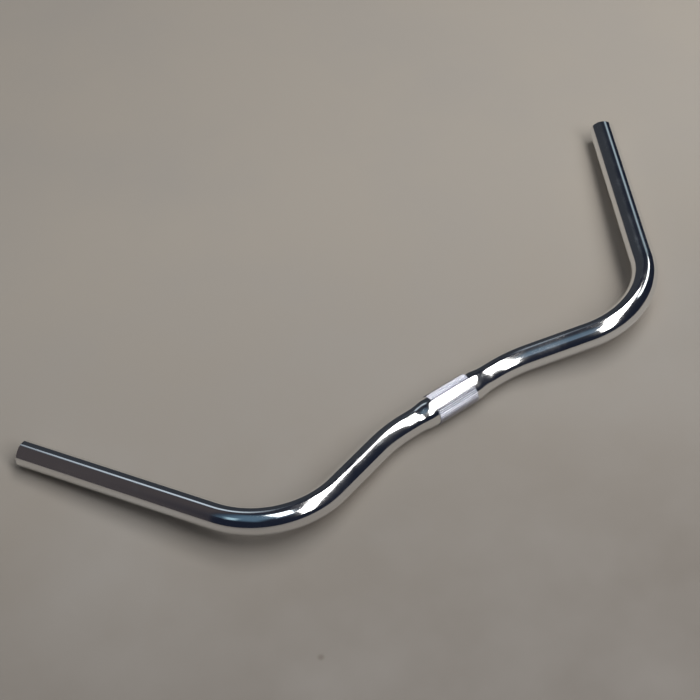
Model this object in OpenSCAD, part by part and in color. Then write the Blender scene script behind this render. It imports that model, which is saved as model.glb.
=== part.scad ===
// Swept-back bicycle handlebar: one aluminium tube, swollen and serrated where the stem holds it,
// bent forward on each side of the stem and then back round a wide corner into a straight grip.
// It lies as it comes to rest on a floor, on the serrated band and its two open ends.
// +X is the rider's right, +Y forward, +Z up, and the origin is the middle of the serrated band.

/* [Tube] */
// Outside diameter of the tube at the grips and bends
tube_d = 22.2; // [20:0.1:25.4]
// Thickness of the tube's wall
wall = 2; // [1.2:0.1:3]
// Chamfer inside and outside each open end
rim_chamfer = 0.4; // [0.1:0.1:0.5]

/* [Stem seat] */
// Diameter over the crests of the serrated band, which the stem clamps
band_d = 26; // [25.4:0.1:32]
// Length of the serrated band
band_l = 38; // [24:1:60]
// Chamfer at each end of the band
band_chamfer = 0.3; // [0.1:0.05:0.6]
// Number of serrations round the band
serration_n = 48; // [36:1:60]
// Depth of a serration
serration_depth = 0.42; // [0.2:0.02:0.6]
// Share of the band's surface left as flat crests
crest_share = 0.45; // [0.4:0.05:0.7]
// Diameter of the swollen tube beside the band
swell_d = 25; // [24:0.1:25.3]
// Smooth length of swollen tube beside the band, on each side
shoulder_l = 3; // [1:0.5:12]
// Length over which the swollen tube narrows to the plain one
taper_l = 14; // [8:1:40]
// Straight plain tube between the narrowing and the first bend
neck_l = 8; // [2:1:40]

/* [Forward bend] */
// Angle through which the tube first bends forward
forward_angle = 19; // [8:1:35]
// Radius of the forward bend, to the middle of the tube
forward_r = 100; // [60:5:160]
// Straight length between the two bends
rise_l = 53; // [20:1:120]

/* [Corner and grip] */
// Angle through which the corner bends back
corner_angle = 79; // [60:1:110]
// Radius of the corner, to the middle of the tube
corner_r = 75; // [45:5:110]
// Angle between the planes of the two bends
twist_angle = 13.5; // [0:0.5:30]
// Length of the straight grip, from the corner to the open end
grip_l = 180; // [110:5:240]

/* [Hidden] */
$fn = 96;
polished = [0.86, 0.87, 0.88];

tube_r = tube_d / 2;
swell_r = swell_d / 2;
band_r = band_d / 2;
mid_l = band_l / 2 + shoulder_l + taper_l + neck_l;
taper_steps = 6;
overrun = 1;

serration_pitch = 360 / serration_n;
serration_w = 2 * band_r * sin(serration_pitch * (1 - crest_share) / 2);

// Where the grip's open end lies from the middle of the band, before the bar is laid on the floor
run_dir = [cos(forward_angle), sin(forward_angle), 0];
corner_dir = [
    sin(forward_angle) * cos(twist_angle),
    -cos(forward_angle) * cos(twist_angle),
    sin(twist_angle)
];
end_pos = [mid_l + forward_r * sin(forward_angle), forward_r * (1 - cos(forward_angle)), 0]
    + (rise_l + corner_r * sin(corner_angle) + grip_l * cos(corner_angle)) * run_dir
    + (corner_r * (1 - cos(corner_angle)) + grip_l * sin(corner_angle)) * corner_dir;
// Turn about the band's axis that brings the open ends down to the floor under the band
end_drop = band_r - tube_r;
lay_angle = 180 + asin(end_drop / norm([end_pos.y, end_pos.z])) - atan2(end_pos.z, end_pos.y);

// A number as it is written out, with six figures
function written(v) = abs(v) < 1e-9 ? 0 : let (s = 10 ^ (5 - floor(log(abs(v))))) round(v * s) / s;

// Size and angle that a turn by a gains or loses when its sine and cosine are written out
function size_error(a) = written(sin(a)) ^ 2 + written(cos(a)) ^ 2 - 1;
function angle_error(a) = a - atan2(written(sin(a)), written(cos(a)));

// Turns by a about an axis without those errors, so that the tube's lengths meet edge to edge:
// in two parts that are chosen for their sizes to cancel, and a trace that makes up the angle
module exact_turn(a, axis) {
    tries = [for (i = [0:600]) a / 2 + 0.03 * i];
    errors = [for (b = tries) abs(size_error(b) + size_error(a - b))];
    first = tries[search(min(errors), errors)[0]];
    trace = angle_error(first) + angle_error(a - first);
    rotate(first * axis) rotate((a - first) * axis) rotate(trace * axis) children();
}

// Carries its children to the end of a straight length along X
module after_straight(l) {
    translate([l, 0, 0]) children();
}

// Carries its children to the end of a bend from +X towards +Y
module after_bend(r, a) {
    translate([0, r, 0]) exact_turn(a, [0, 0, 1]) translate([0, -r, 0]) children();
}

// Solid of revolution about X from an outline of [radius, place along X] points
module turned(outline) {
    rotate([0, 90, 0]) rotate_extrude() polygon(outline);
}

// Round bar of radius r, bent from +X towards +Y
module bent_bar(r, bend_r, a) {
    translate([0, bend_r, 0]) rotate([0, 0, -90])
        rotate_extrude(angle = a) translate([bend_r, 0]) circle(r = r);
}

// Radius of the tube where the taper has run its share u, from the swollen seat to the plain tube
function taper_r(u) = tube_r + (swell_r - tube_r) * (1 + cos(180 * u)) / 2;

// Straight middle of the tube, shrunk by inset
module middle_bar(inset) {
    seat = band_l / 2 + shoulder_l;
    side = [for (i = [0:taper_steps]) [taper_r(i / taper_steps) - inset, seat + taper_l * i / taper_steps]];
    back = [for (i = [taper_steps:-1:0]) [side[i].x, -side[i].y]];
    plain = tube_r - inset;
    turned(concat([[0, -mid_l], [plain, -mid_l]], back, side, [[plain, mid_l], [0, mid_l]]));
}

// One side of the bar from the straight middle to the end of the corner, shrunk by inset,
// with the grip given as its child
module side_bar(inset) {
    r = tube_r - inset;
    after_straight(mid_l) {
        bent_bar(r, forward_r, forward_angle);
        after_bend(forward_r, forward_angle) {
            turned([[0, 0], [r, 0], [r, rise_l], [0, rise_l]]);
            after_straight(rise_l) exact_turn(180 - twist_angle, [1, 0, 0]) {
                bent_bar(r, corner_r, corner_angle);
                after_bend(corner_r, corner_angle) children();
            }
        }
    }
}

// Both sides of the bar
module both_sides(inset) {
    side_bar(inset) children();
    mirror([1, 0, 0]) side_bar(inset) children();
}

// Outside of a grip, chamfered at its open end
module grip_bar() {
    turned([[0, 0], [tube_r, 0], [tube_r, grip_l - rim_chamfer], [tube_r - rim_chamfer, grip_l],
        [0, grip_l]]);
}

// Bore of a grip, widened by the chamfer at its mouth and run on past it
module grip_bore() {
    bore_r = tube_r - wall;
    mouth_r = bore_r + rim_chamfer + overrun;
    turned([[0, 0], [bore_r, 0], [bore_r, grip_l - rim_chamfer], [mouth_r, grip_l + overrun],
        [0, grip_l + overrun]]);
}

// Raised band with chamfered ends and straight serrations along it
module serrated_band() {
    half = band_l / 2;
    shoulder_r = band_r - band_chamfer;
    difference() {
        turned([[0, -half], [shoulder_r, -half], [band_r, band_chamfer - half], [band_r, half - band_chamfer],
            [shoulder_r, half], [0, half]]);
        for (i = [0:serration_n - 1])
            rotate([i * serration_pitch, 0, 0]) serration();
    }
}

// One V-shaped serration, cut from outside along the top of the band
module serration() {
    slope = serration_w / 2 / serration_depth;
    top = serration_depth + overrun;
    half_w = slope * top;
    translate([-band_l / 2 - overrun, 0, band_r - serration_depth]) rotate([90, 0, 90])
        linear_extrude(band_l + 2 * overrun) polygon([[0, 0], [half_w, top], [-half_w, top]]);
}

module handlebar() {
    color(polished) rotate([lay_angle, 0, 0]) difference() {
        union() {
            middle_bar(0);
            both_sides(0) grip_bar();
            serrated_band();
        }
        middle_bar(wall);
        both_sides(wall) grip_bore();
    }
}

handlebar();
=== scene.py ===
import math

import bmesh
import bpy
from mathutils import Matrix, Vector


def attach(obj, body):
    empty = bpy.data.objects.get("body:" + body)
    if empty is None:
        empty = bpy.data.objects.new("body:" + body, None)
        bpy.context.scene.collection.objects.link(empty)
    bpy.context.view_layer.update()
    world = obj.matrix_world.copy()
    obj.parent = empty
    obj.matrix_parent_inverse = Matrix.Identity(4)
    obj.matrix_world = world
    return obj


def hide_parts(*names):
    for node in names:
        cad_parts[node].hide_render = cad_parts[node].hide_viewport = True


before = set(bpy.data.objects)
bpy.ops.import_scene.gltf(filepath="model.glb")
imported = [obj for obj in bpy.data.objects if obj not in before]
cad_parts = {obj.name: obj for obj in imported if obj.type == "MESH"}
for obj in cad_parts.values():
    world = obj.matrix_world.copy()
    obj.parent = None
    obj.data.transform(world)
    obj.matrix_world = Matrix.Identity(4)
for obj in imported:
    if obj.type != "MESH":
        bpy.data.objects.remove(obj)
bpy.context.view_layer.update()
print("frame loaded:", sorted(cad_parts))

mm = 0.001


# Handlebar tube

# Lengths in millimetres and angles in degrees, the same as those of the solid that the tube stands for
bar = {
    "tubeDiameter": 22.2,
    "wall": 2.0,
    "rimChamfer": 0.4,
    "bandDiameter": 26.0,
    "bandLength": 38.0,
    "bandChamfer": 0.3,
    "grooves": 48,
    "grooveDepth": 0.42,
    "crestShare": 0.45,
    "swellDiameter": 25.0,
    "shoulder": 3.0,
    "taper": 14.0,
    "neck": 8.0,
    "forwardAngle": 19.0,
    "forwardRadius": 100.0,
    "rise": 53.0,
    "cornerAngle": 79.0,
    "cornerRadius": 75.0,
    "twist": 13.5,
    "grip": 180.0,
}

# Rings of the mesh along each stretch
rings = {"neck": 2, "taper": 14, "forward": 18, "rise": 8, "corner": 56, "grip": 24, "edge": 2}
# How sharp edges are rounded, in millimetres, and from which angles an edge is rounded or left sharp
edges = {"round": 0.05, "roundFrom": 25.0, "sharpFrom": 40.0}
# How far from the places where rim, bore and band begin a face still counts as theirs, in millimetres
slack = {"rim": 0.1, "bore": 0.5, "band": 0.2}
# Points of the band this near to the start or end of their pattern lie at a groove's bottom
grooveShare = 0.1

tubeRadius = bar["tubeDiameter"] / 2 * mm
boreRadius = tubeRadius - bar["wall"] * mm
swellRadius = bar["swellDiameter"] / 2 * mm
bandRadius = bar["bandDiameter"] / 2 * mm
bandHalf = bar["bandLength"] / 2 * mm
straightEnd = (bar["shoulder"] + bar["taper"] + bar["neck"]) * mm + bandHalf
pitch = math.radians(360 / bar["grooves"])
forwardAngle = math.radians(bar["forwardAngle"])
cornerAngle = math.radians(bar["cornerAngle"])
twist = math.radians(bar["twist"])


def clearSelection():
    if bpy.context.object and bpy.context.object.mode != "OBJECT":
        bpy.ops.object.mode_set(mode="OBJECT")
    bpy.ops.object.select_all(action="DESELECT")


# The picked points, by their numbers
def pickedPoints():
    work = bmesh.from_edit_mesh(bpy.context.edit_object.data)
    return {v.index: v.co.copy() for v in work.verts if v.select}


def pickPoints(wanted):
    work = bmesh.from_edit_mesh(bpy.context.edit_object.data)
    for v in work.verts:
        v.select = v.index in wanted
    work.select_flush_mode()
    bmesh.update_edit_mesh(bpy.context.edit_object.data)


# Scales, or turns about the tube, only those points of the picked ring that pass a test
def shapePart(test, centre, factor=1, turn=0):
    ring = pickedPoints()
    pickPoints({i for i, co in ring.items() if test(co)})
    if factor != 1:
        bpy.ops.transform.resize(value=(1, factor, factor), center_override=centre)
    if turn != 0:
        bpy.ops.transform.rotate(value=-turn, orient_axis="X", center_override=centre)
    pickPoints(ring)


def pullRing(step):
    bpy.ops.mesh.extrude_region_move(TRANSFORM_OT_translate={"value": step})


def goStraight(tip, length, steps=1):
    for _ in range(steps):
        pullRing(tip["along"] * (length / steps))
    tip["place"] = tip["place"] + tip["along"] * length


def sizeRing(tip, radius):
    factor = radius / tip["radius"]
    bpy.ops.transform.resize(value=(factor, factor, factor), center_override=tip["place"])
    tip["radius"] = radius


# Spins the ring round a bend whose middle lies towards side, and gives side as it is at the bend's end
def goRound(tip, radius, angle, side, steps):
    axis = tip["along"].cross(side).normalized()
    centre = tip["place"] + side * radius
    bpy.ops.mesh.spin(steps=steps, angle=-angle, center=centre, axis=axis)
    turn = Matrix.Rotation(angle, 3, axis)
    tip["place"] = centre + turn @ (tip["place"] - centre)
    tip["along"] = turn @ tip["along"]
    return turn @ side


def goTapered(tip, length, radii):
    for radius in radii:
        goStraight(tip, length / len(radii))
        sizeRing(tip, radius)


# How far round its groove and crest pattern a point of the band lies, from 0 to 1
def patternShare(co):
    return math.atan2(co.z, co.y) / pitch % 1


def isGroove(co):
    share = patternShare(co)
    return share < grooveShare or share > 1 - grooveShare


def isCrestStart(co):
    return grooveShare < patternShare(co) < 0.5


def isCrestEnd(co):
    return 0.5 < patternShare(co) < 1 - grooveShare


def startBand():
    chamfer = bar["bandChamfer"] * mm
    grooveRadius = bandRadius - bar["grooveDepth"] * mm
    endRadius = bandRadius - chamfer
    spread = pitch * (bar["crestShare"] / 2 - 1 / 6)  # evenly spaced points have a crest of a third
    origin = Vector((0, 0, 0))
    shapePart(isGroove, origin, factor=grooveRadius / bandRadius)
    shapePart(isCrestStart, origin, turn=-spread)
    shapePart(isCrestEnd, origin, turn=spread)
    tip = {"place": origin, "along": Vector((1, 0, 0)), "radius": swellRadius}
    goStraight(tip, bandHalf - chamfer)
    goStraight(tip, chamfer)
    shapePart(lambda co: not isGroove(co), tip["place"], factor=endRadius / bandRadius)
    pullRing(Vector((0, 0, 0)))  # the face at the band's end
    shapePart(isGroove, tip["place"], factor=swellRadius / grooveRadius)
    shapePart(lambda co: not isGroove(co), tip["place"], factor=swellRadius / endRadius)
    return tip


# The radii of the taper, from the swollen seat to the plain tube, less a wall
def taperRadii(inset):
    steps = rings["taper"]
    drop = swellRadius - tubeRadius
    return [tubeRadius - inset + drop * (1 + math.cos(math.pi * i / steps)) / 2 for i in range(steps + 1)]


def buildTube():
    clearSelection()
    bpy.ops.mesh.primitive_circle_add(vertices=3 * bar["grooves"], radius=bandRadius,
                                      fill_type="NOTHING", rotation=(0, math.pi / 2, 0))
    tube = bpy.context.object
    tube.name = "handlebar_tube"
    bpy.ops.object.transform_apply(location=True, rotation=True, scale=True)
    bpy.ops.object.mode_set(mode="EDIT")
    bpy.ops.mesh.select_mode(type="VERT")
    bpy.ops.mesh.select_all(action="SELECT")

    # outside, from the middle of the band to the grip's open end
    tip = startBand()
    goStraight(tip, bar["shoulder"] * mm)
    goTapered(tip, bar["taper"] * mm, taperRadii(0)[1:])
    goStraight(tip, bar["neck"] * mm, rings["neck"])
    goRound(tip, bar["forwardRadius"] * mm, forwardAngle, Vector((0, 1, 0)), rings["forward"])
    goStraight(tip, bar["rise"] * mm, rings["rise"])
    inwards = Vector((-math.sin(forwardAngle), math.cos(forwardAngle), 0))
    turnIn = Matrix.Rotation(math.pi - twist, 3, tip["along"])
    cornerSide = goRound(tip, bar["cornerRadius"] * mm, cornerAngle, turnIn @ inwards, rings["corner"])
    rim = bar["rimChamfer"] * mm
    goStraight(tip, bar["grip"] * mm - rim, rings["grip"])
    goStraight(tip, rim)
    sizeRing(tip, tubeRadius - rim)

    # round the rim and back through the bore to the middle
    pullRing(Vector((0, 0, 0)))
    sizeRing(tip, boreRadius + rim)
    tip["along"] = -tip["along"]
    goStraight(tip, rim)
    sizeRing(tip, boreRadius)
    goStraight(tip, bar["grip"] * mm - rim, rings["grip"])
    goRound(tip, bar["cornerRadius"] * mm, cornerAngle, cornerSide, rings["corner"])
    goStraight(tip, bar["rise"] * mm, rings["rise"])
    goRound(tip, bar["forwardRadius"] * mm, forwardAngle, inwards, rings["forward"])
    goStraight(tip, bar["neck"] * mm, rings["neck"])
    goTapered(tip, bar["taper"] * mm, taperRadii(bar["wall"] * mm)[-2::-1])
    goStraight(tip, bar["shoulder"] * mm + bandHalf)
    bpy.ops.transform.resize(value=(0, 1, 1), center_override=(0, 0, 0))  # flat against the mirror
    bpy.ops.object.mode_set(mode="OBJECT")
    return tube


def finishTube(tube):
    mirror = tube.modifiers.new("otherHalf", "MIRROR")
    mirror.use_axis = (True, False, False)
    mirror.merge_threshold = 0.001 * mm
    bevel = tube.modifiers.new("edgeRounding", "BEVEL")
    bevel.width = edges["round"] * mm
    bevel.segments = rings["edge"]
    bevel.limit_method = "ANGLE"
    bevel.angle_limit = math.radians(edges["roundFrom"])
    for modifier in list(tube.modifiers):
        bpy.ops.object.modifier_apply(modifier=modifier.name)
    bpy.ops.object.mode_set(mode="EDIT")
    bpy.ops.mesh.select_all(action="SELECT")
    bpy.ops.mesh.normals_make_consistent(inside=False)
    bpy.ops.object.mode_set(mode="OBJECT")
    bpy.ops.object.shade_smooth_by_angle(angle=math.radians(edges["sharpFrom"]))
    # large faces keep their own direction, so that only the edge rounding between them is shaded round
    weighted = tube.modifiers.new("flatFaces", "WEIGHTED_NORMAL")
    weighted.mode = "FACE_AREA"
    weighted.weight = 50
    weighted.keep_sharp = True
    bpy.ops.object.modifier_apply(modifier=weighted.name)


# Where a point lies along the tube from its middle, how far round it, and how far out of its centre line.
# The bar has not yet been laid on the floor, and the left half is read as its mirror image.
def placeOnTube(co):
    point = Vector((abs(co.x), co.y, co.z))
    side = 1 if co.x >= 0 else -1
    along, inwards, up = Vector((1, 0, 0)), Vector((0, 1, 0)), Vector((0, 0, 1))
    start, run, turned = Vector((0, 0, 0)), 0, 0
    stretches = [
        ("straight", straightEnd, 0, 0),
        ("bend", bar["forwardRadius"] * mm, forwardAngle, 0),
        ("straight", bar["rise"] * mm, 0, 0),
        ("bend", bar["cornerRadius"] * mm, cornerAngle, math.pi - twist),
        ("straight", bar["grip"] * mm, 0, 0),
    ]
    for kind, size, angle, roll in stretches:
        if roll:
            turn = Matrix.Rotation(roll, 3, along)
            inwards, up, turned = turn @ inwards, turn @ up, turned + roll
        offset = point - start
        if kind == "straight":
            passed = offset.dot(along)
            if passed <= size or (kind, size) == stretches[-1][:2]:
                out = offset - along * passed
                return side * (run + passed), math.atan2(out.dot(up), out.dot(inwards)) + turned, out.length
            start, run = start + along * size, run + size
        else:
            centre = start + inwards * size
            arm = point - centre
            passed = math.atan2(arm.dot(along), -arm.dot(inwards))
            turn = Matrix.Rotation(angle, 3, up)
            if passed <= angle:
                outward = size - math.hypot(arm.dot(along), arm.dot(inwards))
                rise = arm.dot(up)
                out = math.hypot(rise, outward)
                return side * (run + passed * size), math.atan2(rise, outward) + turned, out
            start, run = centre - turn @ inwards * size, run + size * angle
            along, inwards = turn @ along, turn @ inwards


# A map along and round the tube, in metres, and slots of their own for the faces of band, rims and bore
def mapTube(tube):
    mesh = tube.data
    places = [placeOnTube(v.co) for v in mesh.vertices]
    layer = mesh.uv_layers.new(name="alongTube").uv
    end = max(place[0] for place in places)
    slots = {"skin": 0, "seat": 1, "cut": 2, "bore": 3}
    for face in mesh.polygons:
        first = places[face.vertices[0]][1]
        for loop, vertex in zip(face.loop_indices, face.vertices):
            along, angle, out = places[vertex]
            angle -= 2 * math.pi * round((angle - first) / (2 * math.pi))
            layer[loop].vector = (along, angle * tubeRadius)
        corners = [places[i] for i in face.vertices]
        if min(abs(along) for along, _, _ in corners) > end - (bar["rimChamfer"] + slack["rim"]) * mm:
            face.material_index = slots["cut"]
        elif max(out for _, _, out in corners) < tubeRadius - slack["bore"] * mm:
            face.material_index = slots["bore"]
        elif max(abs(along) for along, _, _ in corners) < bandHalf + slack["band"] * mm:
            face.material_index = slots["seat"]


# Turns the bar about its seat, so that the grips' open ends come down to the floor under the band
def layOnFloor(tube):
    run = Vector((math.cos(forwardAngle), math.sin(forwardAngle), 0))
    inwards = Vector((-math.sin(forwardAngle), math.cos(forwardAngle), 0))
    corner = Matrix.Rotation(math.pi - twist, 3, run) @ inwards
    bend, turn = bar["forwardRadius"] * mm, bar["cornerRadius"] * mm
    end = Vector((straightEnd, 0, 0))
    end += Vector((bend * math.sin(forwardAngle), bend * (1 - math.cos(forwardAngle)), 0))
    end += run * (bar["rise"] * mm + turn * math.sin(cornerAngle) + bar["grip"] * mm * math.cos(cornerAngle))
    end += corner * (turn * (1 - math.cos(cornerAngle)) + bar["grip"] * mm * math.sin(cornerAngle))
    drop = bandRadius - tubeRadius
    tube.rotation_euler.x = math.pi + math.asin(drop / math.hypot(end.y, end.z)) - math.atan2(end.z, end.y)
    bpy.ops.object.transform_apply(location=False, rotation=True, scale=False)


# Materials

# Heights of waves and lines, and depths below the crests over which painted shade sets in, are in
# millimetres, and scales are in cells per metre, where a pair of them is along the tube and round it
skin = {
    "colour": (0.86, 0.87, 0.88, 1),
    "roughness": 0.09,
    "smudged": 0.17,
    "smudgeScale": 26.0,
    "waveScale": (38.0, 60.0),
    "waveHeight": 0.035,
    "lineScale": (14.0, 2600.0),
    "lineHeight": 0.0006,
}
seat = {
    "colour": (0.84, 0.84, 0.88, 1),
    # painted shade in the grooves, tinted blue-grey as a painted reflection
    "shadeAndOxide": (0.120, 0.135, 0.185, 1),
    "grooveShadeStart": 0.01,
    "grooveShadeFull": 0.10,
    "roughness": 0.10,
    "smudged": 0.16,
    "grooveRoughness": 0.36,
    "smudgeScale": 60.0,
    "lineScale": (500.0, 900.0),
    "lineHeight": 0.002,
}
cut = {
    "colour": (0.80, 0.80, 0.81, 1),
    "roughness": 0.26,
    "smudged": 0.36,
    "smudgeScale": 90.0,
    "lineScale": (3000.0, 12.0),
    "lineHeight": 0.003,
}
drawn = {
    "colour": (0.34, 0.34, 0.35, 1),
    # the bore's grey oxide, in patches
    "shadeAndOxide": (0.10, 0.095, 0.09, 1),
    "roughness": 0.42,
    "smudged": 0.6,
    "smudgeScale": 40.0,
    "lineScale": (20.0, 1500.0),
    "lineHeight": 0.006,
}
# The dull patches on all of them, and the values of the noise between which a patch sets in
smudge = {"detail": 5, "roughness": 0.65, "distortion": 0.6, "start": 0.42, "full": 0.72}


def newGroup(name, inputs, outputs):
    group = bpy.data.node_groups.new(name, "ShaderNodeTree")
    for label, kind in inputs:
        group.interface.new_socket(label, in_out="INPUT", socket_type="NodeSocket" + kind)
    for label, kind in outputs:
        group.interface.new_socket(label, in_out="OUTPUT", socket_type="NodeSocket" + kind)
    return group, group.nodes.new("NodeGroupInput"), group.nodes.new("NodeGroupOutput")


# Gives a socket its value, which is a number, a colour or another socket
def feed(links, socket, value):
    if isinstance(value, bpy.types.NodeSocket):
        links.new(value, socket)
    else:
        socket.default_value = value


def mathNode(nodes, links, operation, *values, kind="Math", result="Value"):
    node = nodes.new("ShaderNode" + kind)
    node.operation = operation
    for socket, value in zip(node.inputs, values):
        feed(links, socket, value)
    return node.outputs[result]


def vectorNode(nodes, links, operation, *values):
    return mathNode(nodes, links, operation, *values, kind="VectorMath", result="Vector")


def splitVector(nodes, links, vector):
    node = nodes.new("ShaderNodeSeparateXYZ")
    links.new(vector, node.inputs["Vector"])
    return node.outputs


def joinVector(nodes, links, *values):
    node = nodes.new("ShaderNodeCombineXYZ")
    for socket, value in zip(node.inputs, values):
        feed(links, socket, value)
    return node.outputs["Vector"]


def noiseNode(nodes, links, place, **settings):
    node = nodes.new("ShaderNodeTexNoise")
    links.new(place, node.inputs["Vector"])
    for name, value in settings.items():
        feed(links, node.inputs[name.capitalize()], value)
    return node.outputs["Fac"]


# Carries a value from the span between start and end to the one between low and high, and no further
def mapSpan(nodes, links, value, start, end, low=0, high=1, smooth=False):
    node = nodes.new("ShaderNodeMapRange")
    if smooth:
        node.interpolation_type = "SMOOTHSTEP"
    spans = {"Value": value, "From Min": start, "From Max": end, "To Min": low, "To Max": high}
    for name, given in spans.items():
        feed(links, node.inputs[name], given)
    return node.outputs["Result"]


def mixColours(nodes, links, share, first, second):
    node = nodes.new("ShaderNodeMix")
    node.data_type = "RGBA"
    for name, given in {"Factor": share, "A": first, "B": second}.items():
        feed(links, node.inputs[name], given)
    return node.outputs["Result"]


# Places a group with its inputs in order, and gives its one output
def placeGroup(nodes, links, group, *values):
    node = nodes.new("ShaderNodeGroup")
    node.node_tree = group
    for socket, value in zip(node.inputs, values):
        feed(links, socket, value)
    return node.outputs[0]


# The tube's surface rolled out straight: X runs along it, and Y and Z go round it without a seam
def makeStraightTubeGroup():
    group, ins, outs = newGroup("straightTube", [("Along and round", "Vector")], [("Place", "Vector")])
    nodes, links = group.nodes, group.links
    parts = splitVector(nodes, links, ins.outputs["Along and round"])
    angle = mathNode(nodes, links, "DIVIDE", parts["Y"], tubeRadius)
    across = [mathNode(nodes, links, "MULTIPLY", mathNode(nodes, links, wave, angle), tubeRadius)
              for wave in ("COSINE", "SINE")]
    links.new(joinVector(nodes, links, parts["X"], *across), outs.inputs["Place"])
    return group


# Fine lines left by polishing, drawing or cutting, as a height from 0 to 1
def makeToolLinesGroup():
    group, ins, outs = newGroup(
        "toolLines", [("Place", "Vector"), ("Along scale", "Float"), ("Round scale", "Float")],
        [("Height", "Float")])
    nodes, links = group.nodes, group.links
    along, across = ins.outputs["Along scale"], ins.outputs["Round scale"]
    scale = joinVector(nodes, links, along, across, across)
    stretched = vectorNode(nodes, links, "MULTIPLY", ins.outputs["Place"], scale)
    lines = noiseNode(nodes, links, stretched, scale=1, detail=3, roughness=0.6)
    links.new(lines, outs.inputs["Height"])
    return group


# Dull patches where the metal has been handled, as a share from 0 to 1
def makeHandlingGroup():
    group, ins, outs = newGroup("handling", [("Place", "Vector"), ("Scale", "Float")], [("Share", "Float")])
    nodes, links = group.nodes, group.links
    patches = noiseNode(nodes, links, ins.outputs["Place"], scale=ins.outputs["Scale"],
                        detail=smudge["detail"], roughness=smudge["roughness"],
                        distortion=smudge["distortion"])
    share = mapSpan(nodes, links, patches, smudge["start"], smudge["full"], smooth=True)
    links.new(share, outs.inputs["Share"])
    return group


def newMaterial(name):
    material = bpy.data.materials.new(name)
    material.use_nodes = True
    nodes = material.node_tree.nodes
    return material, nodes, material.node_tree.links, nodes["Principled BSDF"]


# Bare metal with tool lines and dull patches, and the sockets that its material goes on from
def startMetal(name, look):
    material, nodes, links, shader = newMaterial(name)
    shader.inputs["Base Color"].default_value = look["colour"]
    shader.inputs["Metallic"].default_value = 1
    surface = nodes.new("ShaderNodeUVMap")
    surface.uv_map = "alongTube"
    place = placeGroup(nodes, links, groups["straightTube"], surface.outputs["UV"])
    lines = placeGroup(nodes, links, groups["toolLines"], place, *look["lineScale"])
    height = mathNode(nodes, links, "MULTIPLY", lines, look["lineHeight"])
    body = nodes.new("ShaderNodeTexCoord").outputs["Object"]
    dull = placeGroup(nodes, links, groups["handling"], body, look["smudgeScale"])
    rough = mapSpan(nodes, links, dull, 0, 1, look["roughness"], look["smudged"])
    links.new(rough, shader.inputs["Roughness"])
    sockets = {"place": place, "height": height, "body": body, "dull": dull, "rough": rough}
    return material, nodes, links, shader, sockets


def raiseSurface(nodes, links, shader, height):
    bump = nodes.new("ShaderNodeBump")
    bump.inputs["Strength"].default_value = 1
    bump.inputs["Distance"].default_value = mm
    links.new(height, bump.inputs["Height"])
    links.new(bump.outputs["Normal"], shader.inputs["Normal"])


# The bright skin, with the slight ripples that bending and polishing leave in it
def makeSkin():
    material, nodes, links, shader, sockets = startMetal("polishedAluminium", skin)
    along, across = skin["waveScale"]
    stretched = vectorNode(nodes, links, "MULTIPLY", sockets["place"], (along, across, across))
    waves = noiseNode(nodes, links, stretched, scale=1, detail=2, roughness=0.45)
    ripple = mathNode(nodes, links, "MULTIPLY", waves, skin["waveHeight"])
    raiseSurface(nodes, links, shader, mathNode(nodes, links, "ADD", sockets["height"], ripple))
    return material


# The stem seat: satin metal, rougher below the crests of the serrations, and darker and bluer there with
# painted shade in the grooves, tinted as a painted reflection
def makeSeat():
    material, nodes, links, shader, sockets = startMetal("serratedAluminium", seat)
    parts = splitVector(nodes, links, sockets["body"])
    squares = [mathNode(nodes, links, "POWER", parts[axis], 2.0) for axis in "YZ"]
    fromAxis = mathNode(nodes, links, "ADD", *squares)
    # painted shade: darker and bluer below the crests, where the serrations are also rougher
    start, full = [(bandRadius - seat[name] * mm) ** 2 for name in ("grooveShadeStart", "grooveShadeFull")]
    shadeAndOxide = mapSpan(nodes, links, fromAxis, start, full)
    links.new(mixColours(nodes, links, shadeAndOxide, seat["colour"], seat["shadeAndOxide"]), shader.inputs["Base Color"])
    rougher = mathNode(nodes, links, "MULTIPLY", shadeAndOxide, seat["grooveRoughness"])
    links.new(mathNode(nodes, links, "MAXIMUM", sockets["rough"], rougher), shader.inputs["Roughness"])
    raiseSurface(nodes, links, shader, sockets["height"])
    return material


# The rims as they were cut, duller than the skin
def makeCut():
    material, nodes, links, shader, sockets = startMetal("cutAluminium", cut)
    raiseSurface(nodes, links, shader, sockets["height"])
    return material


# The bore as it was drawn, with grey oxide in patches
def makeDrawn():
    material, nodes, links, shader, sockets = startMetal("drawnAluminium", drawn)
    oxide = mixColours(nodes, links, sockets["dull"], drawn["colour"], drawn["shadeAndOxide"])
    links.new(oxide, shader.inputs["Base Color"])
    raiseSurface(nodes, links, shader, sockets["height"])
    return material


# Floor

# In metres, with the grain's height in millimetres, a fleck's size in cells and scales in cells per metre
floorLook = {
    "size": 40.0,
    "roughness": 0.85,
    "specular": 0.15,
    "colour": (0.360, 0.330, 0.294, 1),
    # painted shade towards the front, from where it starts to where it is full, slanting across
    "shade": (0.184, 0.167, 0.152, 1),
    "shadeStart": -0.35,
    "shadeFull": 0.45,
    "shadeSlant": 0.35,
    "cool": (0.320, 0.304, 0.288, 1),
    "coolShare": 0.55,
    "coolStart": 0.4,
    "coolFull": 0.75,
    "coolScale": 5.0,
    "fleck": (0.115, 0.085, 0.070, 1),
    "fleckShare": 0.8,
    "fleckScale": 9.0,
    "fleckSize": 0.05,
    "fleckRarity": 3.0,
    "grainScale": 900.0,
    "grainHeight": 0.03,
}


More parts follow.
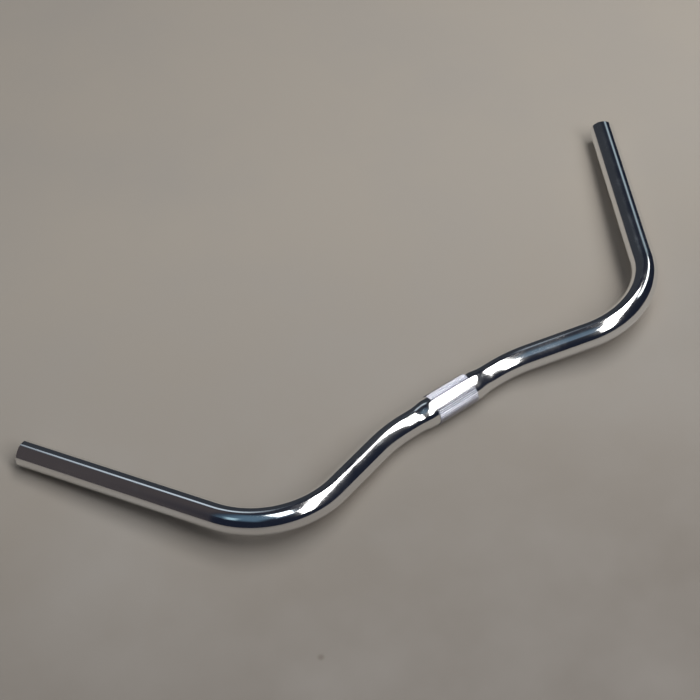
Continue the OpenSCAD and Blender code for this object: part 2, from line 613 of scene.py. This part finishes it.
def makeFloor():
    clearSelection()
    bpy.ops.mesh.primitive_plane_add(size=floorLook["size"], location=(0, 0, -bandRadius))
    floor = bpy.context.object
    floor.name = "floor"
    material, nodes, links, shader = newMaterial("plainFloor")
    shader.inputs["Roughness"].default_value = floorLook["roughness"]
    shader.inputs["Specular IOR Level"].default_value = floorLook["specular"]
    body = nodes.new("ShaderNodeTexCoord").outputs["Object"]
    # painted shade: the floor's tone darkens slowly from behind the bar to the front
    parts = splitVector(nodes, links, body)
    aside = mathNode(nodes, links, "MULTIPLY", parts["X"], floorLook["shadeSlant"])
    forward = mathNode(nodes, links, "ADD", parts["Y"], aside)
    slow = mapSpan(nodes, links, forward, floorLook["shadeStart"], floorLook["shadeFull"], smooth=True)
    tone = mixColours(nodes, links, slow, floorLook["colour"], floorLook["shade"])
    # cooler patches
    patches = noiseNode(nodes, links, body, scale=floorLook["coolScale"], detail=4, roughness=0.55)
    share = mapSpan(nodes, links, patches, floorLook["coolStart"], floorLook["coolFull"],
                    high=floorLook["coolShare"])
    patched = mixColours(nodes, links, share, tone, floorLook["cool"])
    # a few small flecks, of different sizes
    cells = nodes.new("ShaderNodeTexVoronoi")
    cells.inputs["Scale"].default_value = floorLook["fleckScale"]
    links.new(body, cells.inputs["Vector"])
    lot = nodes.new("ShaderNodeSeparateColor")
    links.new(cells.outputs["Color"], lot.inputs["Color"])
    chance = mathNode(nodes, links, "POWER", lot.outputs["Red"], floorLook["fleckRarity"])
    size = mathNode(nodes, links, "MULTIPLY", chance, floorLook["fleckSize"])
    spot = mapSpan(nodes, links, cells.outputs["Distance"], 0, size, floorLook["fleckShare"], 0, smooth=True)
    flecked = mixColours(nodes, links, spot, patched, floorLook["fleck"])
    links.new(flecked, shader.inputs["Base Color"])
    grain = noiseNode(nodes, links, body, scale=floorLook["grainScale"])
    raiseSurface(nodes, links, shader, mathNode(nodes, links, "MULTIPLY", grain, floorLook["grainHeight"]))
    floor.data.materials.append(material)


# Light

# Flat soft lamps that face the floor: places and sizes in metres, turns in degrees, and how bright
# their faces are
lamps = [
    {"name": "overheadLow", "place": (-1.44, -0.06, 3.2), "size": (0.98, 3.00), "turn": -15, "light": 8.8,
     "colour": (1.0, 0.975, 0.94)},
    {"name": "overheadHigh", "place": (-0.99, 3.10, 3.2), "size": (1.12, 3.50), "turn": 2, "light": 10.0,
     "colour": (1.0, 0.975, 0.94)},
    {"name": "side", "place": (-1.12, -0.22, 0.8), "size": (0.84, 0.24), "turn": 40, "light": 2.5,
     "colour": (0.93, 0.98, 1.0)},
    {"name": "corner", "place": (0.14, 0.20, 0.9), "size": (0.20, 0.52), "turn": -10, "light": 2.5,
     "colour": (0.93, 0.98, 1.0)},
]
# The dark room round them, and what glows faintly in it. The room is a round plan, in which straight up
# is the middle and the horizon is the circle of radius 1, and each glow is a soft-edged box on it.
# The last glow lightens the shadows, and the bar mirrors it where it is seen from behind. The plan goes
# on below the horizon to where one plus the height of a direction is the room's lowest.
room = {"colour": (0.011, 0.014, 0.025, 1), "lowest": 0.05}
glows = [
    {"at": (0.0, -0.95), "half": (0.9, 0.42), "turn": 0, "soft": 0.2, "colour": (0.036, 0.040, 0.048, 1)},
    {"at": (0.14, 0.05), "half": (0.10, 0.08), "turn": 20, "soft": 0.16, "colour": (0.09, 0.15, 0.21, 1)},
    {"at": (0.03, 0.22), "half": (0.01, 0.03), "turn": 0, "soft": 0.10, "colour": (0.10, 0.15, 0.21, 1)},
    {"at": (0.48, -0.16), "half": (0.48, 0.04), "turn": 18, "soft": 0.1, "colour": (0.058, 0.050, 0.052, 1)},
    {"at": (0.29, 0.03), "half": (0.05, 0.01), "turn": 35, "soft": 0.05, "colour": (0.40, 0.58, 0.68, 1)},
    {"at": (-0.10, -0.38), "half": (0.03, 0.016), "turn": -35, "soft": 0.07, "colour": (0.60, 0.68, 0.76, 1)},
    {"at": (-0.54, -0.33), "half": (0.03, 0.02), "turn": 0, "soft": 0.09, "colour": (0.32, 0.40, 0.45, 1)},
    {"at": (0.55, -0.47), "half": (0.24, 0.14), "turn": 25, "soft": 0.08, "colour": (1.4, 1.2, 1.0, 1)},
]


def makeLamps():
    for lamp in lamps:
        clearSelection()
        bpy.ops.object.light_add(type="AREA", location=lamp["place"],
                                 rotation=(0, 0, math.radians(lamp["turn"])))
        light = bpy.context.object
        light.name = lamp["name"]
        light.data.shape = "RECTANGLE"
        light.data.size, light.data.size_y = lamp["size"]
        light.data.energy = lamp["light"] * math.pi * lamp["size"][0] * lamp["size"][1]
        light.data.color = lamp["colour"]


def makeGlowGroup():
    group, ins, outs = newGroup(
        "softGlow",
        [("Plan", "Vector"), ("At", "Vector"), ("Turn", "Vector"), ("Half", "Vector"), ("Soft", "Float")],
        [("Mask", "Float")])
    nodes, links = group.nodes, group.links
    place = nodes.new("ShaderNodeMapping")
    place.vector_type = "TEXTURE"
    links.new(ins.outputs["Plan"], place.inputs["Vector"])
    links.new(ins.outputs["At"], place.inputs["Location"])
    links.new(ins.outputs["Turn"], place.inputs["Rotation"])
    size = vectorNode(nodes, links, "ABSOLUTE", place.outputs["Vector"])
    reach = splitVector(nodes, links, vectorNode(nodes, links, "SUBTRACT", size, ins.outputs["Half"]))
    edge = mathNode(nodes, links, "MAXIMUM", reach["X"], reach["Y"])
    fade = mapSpan(nodes, links, edge, 0, ins.outputs["Soft"], 1, 0, smooth=True)
    links.new(fade, outs.inputs["Mask"])
    return group


def makeWorld():
    world = bpy.data.worlds.new("darkRoom")
    bpy.context.scene.world = world
    world.use_nodes = True
    nodes, links = world.node_tree.nodes, world.node_tree.links
    where = nodes.new("ShaderNodeTexCoord").outputs["Generated"]
    parts = splitVector(nodes, links, where)
    height = mathNode(nodes, links, "MAXIMUM", mathNode(nodes, links, "ADD", parts["Z"], 1.0), room["lowest"])
    plan = joinVector(nodes, links, *(mathNode(nodes, links, "DIVIDE", parts[axis], height) for axis in "XY"))
    group = makeGlowGroup()
    total = room["colour"]
    for glow in glows:
        turn = (0, 0, math.radians(glow["turn"]))
        mask = placeGroup(nodes, links, group, plan, (*glow["at"], 0), turn, (*glow["half"], 0), glow["soft"])
        total = mixColours(nodes, links, mask, total, glow["colour"])
    links.new(total, nodes["Background"].inputs["Color"])


# Camera

# It stands in front of the bar on its right, held a little askew, and looks down between the grips
view = {
    "place": (0.4750, 0.6746, 1.0312),
    "lookAt": (0.0287, -0.1034, -0.0130),
    "roll": -6.49,
    "lens": 83.67,
    "sensor": 36.0,
    "nearest": 0.05,
}


def makeCamera():
    clearSelection()
    place, lookAt = Vector(view["place"]), Vector(view["lookAt"])
    bpy.ops.object.camera_add(location=place)
    camera = bpy.context.object
    facing = (lookAt - place).to_track_quat("-Z", "Y").to_matrix()
    facing = facing @ Matrix.Rotation(math.radians(view["roll"]), 3, "Z")
    camera.matrix_world = Matrix.Translation(place) @ facing.to_4x4()
    camera.data.lens = view["lens"]
    camera.data.sensor_width = view["sensor"]
    camera.data.sensor_fit = "HORIZONTAL"
    camera.data.clip_start = view["nearest"]
    bpy.context.scene.camera = camera


makeCamera()
print("camera placed")
groups = {
    "straightTube": makeStraightTubeGroup(),
    "toolLines": makeToolLinesGroup(),
    "handling": makeHandlingGroup(),
}
tube = buildTube()
finishTube(tube)
for material in (makeSkin(), makeSeat(), makeCut(), makeDrawn()):
    tube.data.materials.append(material)
mapTube(tube)
layOnFloor(tube)
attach(tube, "root")
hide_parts("handlebar")
print("tube built:", len(tube.data.polygons), "faces")
makeFloor()
makeLamps()
makeWorld()
bpy.context.scene.view_settings.view_transform = "Standard"
print("floor and light set")
